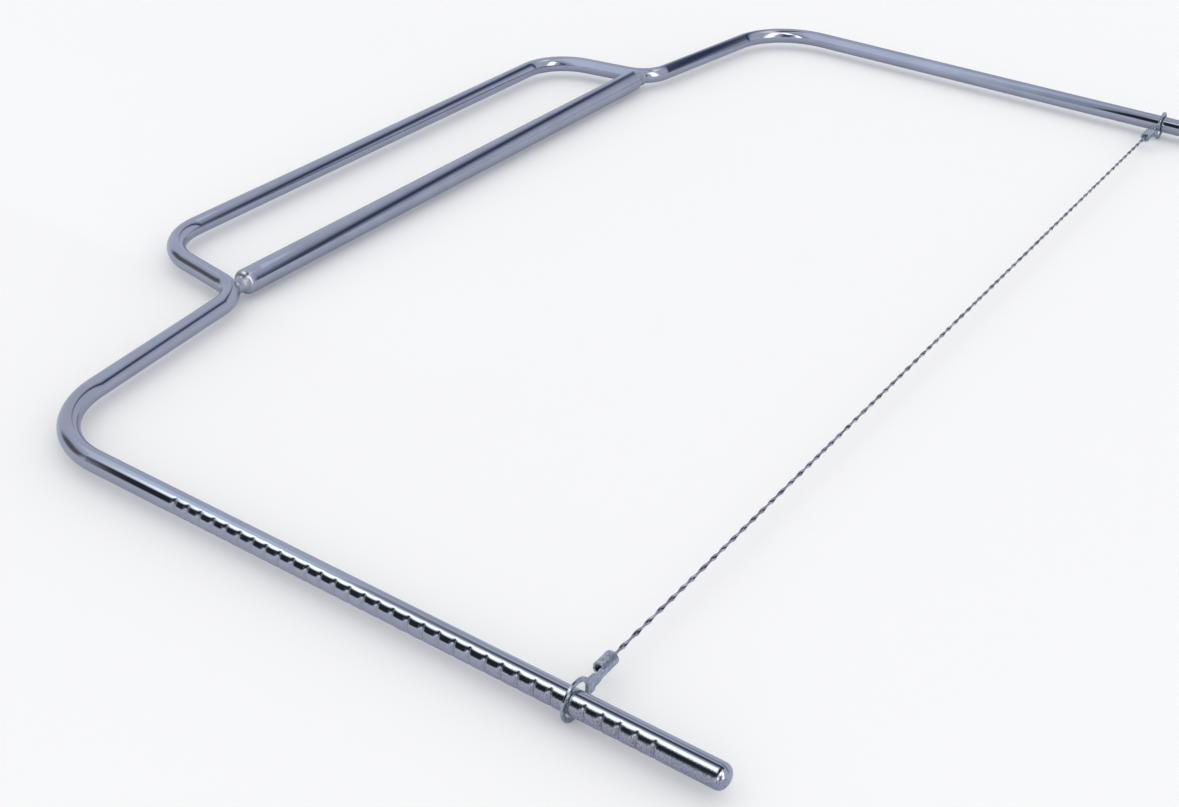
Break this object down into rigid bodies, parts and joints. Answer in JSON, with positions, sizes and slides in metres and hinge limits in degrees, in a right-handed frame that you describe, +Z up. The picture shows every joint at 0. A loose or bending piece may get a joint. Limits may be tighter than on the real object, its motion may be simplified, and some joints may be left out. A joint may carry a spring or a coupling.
{
  "type": "cake leveler",
  "caption": "Wire cake slicer: bent chrome rod frame with a handle loop, and a twisted cutting wire on ring terminals that slide along its two notched legs.",
  "frame": {"origin": "middle of the grip bar, on the bar's axis", "axes": "+X along the grip bar, +Y from the leg tips towards the handle, +Z up with the frame lying flat"},
  "size_m": [0.3268, 0.2133, 0.0084],
  "materials": {
    "chrome_rod": "bright chrome plating on a steel rod",
    "stainless_wire": "drawn stainless wire, two strands twisted",
    "zinc_sheet": "bright zinc plating on pressed steel sheet"
  },
  "bodies": {
    "frame": {"frame_rod": "chrome_rod", "handle_crossbar": "chrome_rod"},
    "wire_unit": {"cutting_wire": "stainless_wire", "left_ring_terminal": "zinc_sheet", "right_ring_terminal": "zinc_sheet"}
  },
  "joints": [
    {"name": "wire_height", "type": "slide", "parent": "frame", "child": "wire_unit", "axis": [0, 1, 0], "range_m": [-0.01725, 0.09315]}
  ]
}
